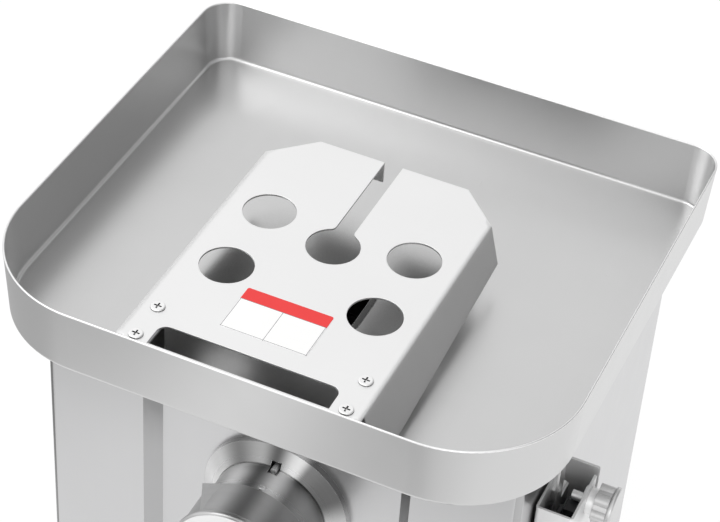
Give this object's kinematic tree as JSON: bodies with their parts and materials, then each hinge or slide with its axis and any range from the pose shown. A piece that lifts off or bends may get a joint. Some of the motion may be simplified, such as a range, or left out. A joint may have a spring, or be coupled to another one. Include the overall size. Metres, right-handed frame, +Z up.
{
  "type": "electric meat grinder",
  "caption": "Electric meat grinder: brushed sheet-steel body with a feed tray and holed hand guard on top, a barrel with a lugged ring nut at the front, motor and gearbox inside.",
  "frame": {"origin": "on the table under the middle of the outline box, in the plane the rubber feet stand on", "axes": "X to the right of someone facing the outlet, Y to the back, Z up"},
  "size_m": [0.4842, 0.4328, 0.5],
  "materials": {
    "body_steel": "fine brushed stainless sheet",
    "tray_steel": "satin stainless sheet",
    "guard_steel": "bright satin stainless sheet",
    "turned_steel": "turned stainless with fine lathe marks",
    "knife_steel": "ground tool steel",
    "screw_steel": "bright fastener steel",
    "gear_steel": "machined steel with a film of oil",
    "core_steel": "laminated core steel",
    "cast_case": "as-cast aluminium",
    "knob_metal": "die-cast and tumbled",
    "bronze": "plain bearing bronze",
    "copper_wire": "varnished copper wire",
    "rubber": "matt black rubber",
    "black_plastic": "fine-grained black plastic",
    "start_plastic": "green push button",
    "stop_plastic": "red push button",
    "pale_plastic": "pale gloss plastic"
  },
  "bodies": {
    "housing": {"body_shell": "body_steel", "base_plate": "body_steel", "top_panel": "body_steel", "back_panel": "body_steel", "back_screws": "screw_steel", "rubber_feet": "rubber", "foot_screws": "screw_steel", "front_flange": "turned_steel", "grinder_head": "turned_steel", "locating_pin": "knife_steel", "mincing_plate": "knife_steel", "gearbox_case": "cast_case", "gearbox_cover": "cast_case", "cover_bolts": "screw_steel", "foot_bolts": "screw_steel", "drive_bearings": "gear_steel", "layshaft_bearings": "gear_steel", "motor_bearings": "gear_steel", "shaft_seal": "rubber", "motor_housing": "cast_case", "motor_bolts": "screw_steel", "stator": "core_steel", "stator_winding": "copper_wire", "end_bell": "cast_case", "run_capacitor": "pale_plastic", "capacitor_clamp": "gear_steel", "cable_gland": "black_plastic", "switch_plate": "black_plastic", "switch_body": "black_plastic", "lock_bracket": "body_steel", "lock_screws": "screw_steel", "lock_boss": "turned_steel", "interlock_switch": "black_plastic"},
    "tray": {"feed_tray": "tray_steel", "hand_guard": "guard_steel", "guard_brackets": "tray_steel", "guard_screws": "screw_steel", "tray_tongue": "tray_steel"},
    "auger": {"auger": "knife_steel", "cross_blade": "knife_steel", "thrust_washer": "bronze", "drive_shaft": "gear_steel", "drive_gear": "gear_steel"},
    "layshaft": {"layshaft": "gear_steel", "layshaft_gear": "gear_steel"},
    "rotor": {"rotor": "core_steel", "motor_shaft": "gear_steel", "cooling_fan": "black_plastic"},
    "ring_nut": {"ring_nut": "turned_steel"},
    "lock_screw": {"lock_stud": "screw_steel"},
    "knob": {"star_knob": "knob_metal"},
    "start_button": {"start_button": "start_plastic"},
    "stop_button": {"stop_button": "stop_plastic"}
  },
  "joints": [
    {"name": "auger_spin", "type": "hinge", "parent": "housing", "child": "auger", "pos_m": [-0.01215, -0.0696, 0.298], "axis": [0, 1, 0], "continuous": true},
    {"name": "layshaft_spin", "type": "hinge", "parent": "housing", "child": "layshaft", "pos_m": [-0.01215, 0.0304, 0.19], "axis": [0, 1, 0], "continuous": true},
    {"name": "rotor_spin", "type": "hinge", "parent": "housing", "child": "rotor", "pos_m": [-0.01215, 0.1104, 0.122], "axis": [0, 1, 0], "continuous": true},
    {"name": "ring_nut_turn", "type": "hinge", "parent": "housing", "child": "ring_nut", "pos_m": [-0.01215, -0.1896, 0.298], "axis": [0, -1, 0], "range_deg": [0, 1440]},
    {"name": "tray_lift", "type": "slide", "parent": "housing", "child": "tray", "axis": [0, 0, 1], "range_m": [0, 0.2]},
    {"name": "knob_turn", "type": "hinge", "parent": "housing", "child": "knob", "pos_m": [0.22785, -0.07035, 0.353], "axis": [-1, 0, 0], "range_deg": [0, 1200]},
    {"name": "lock_slide", "type": "slide", "parent": "housing", "child": "lock_screw", "axis": [-1, 0, 0], "range_m": [0, 0.005]},
    {"name": "start_press", "type": "slide", "parent": "housing", "child": "start_button", "axis": [1, 0, 0], "range_m": [0, 0.003], "stiffness_N_per_m": 400},
    {"name": "stop_press", "type": "slide", "parent": "housing", "child": "stop_button", "axis": [1, 0, 0], "range_m": [0, 0.003], "stiffness_N_per_m": 400}
  ],
  "couplings": [
    {"joint": "layshaft_spin", "follows": "auger_spin", "ratio": -3},
    {"joint": "rotor_spin", "follows": "auger_spin", "ratio": 8.3333},
    {"joint": "lock_slide", "follows": "knob_turn", "m_per_rad": 0.00023873}
  ]
}
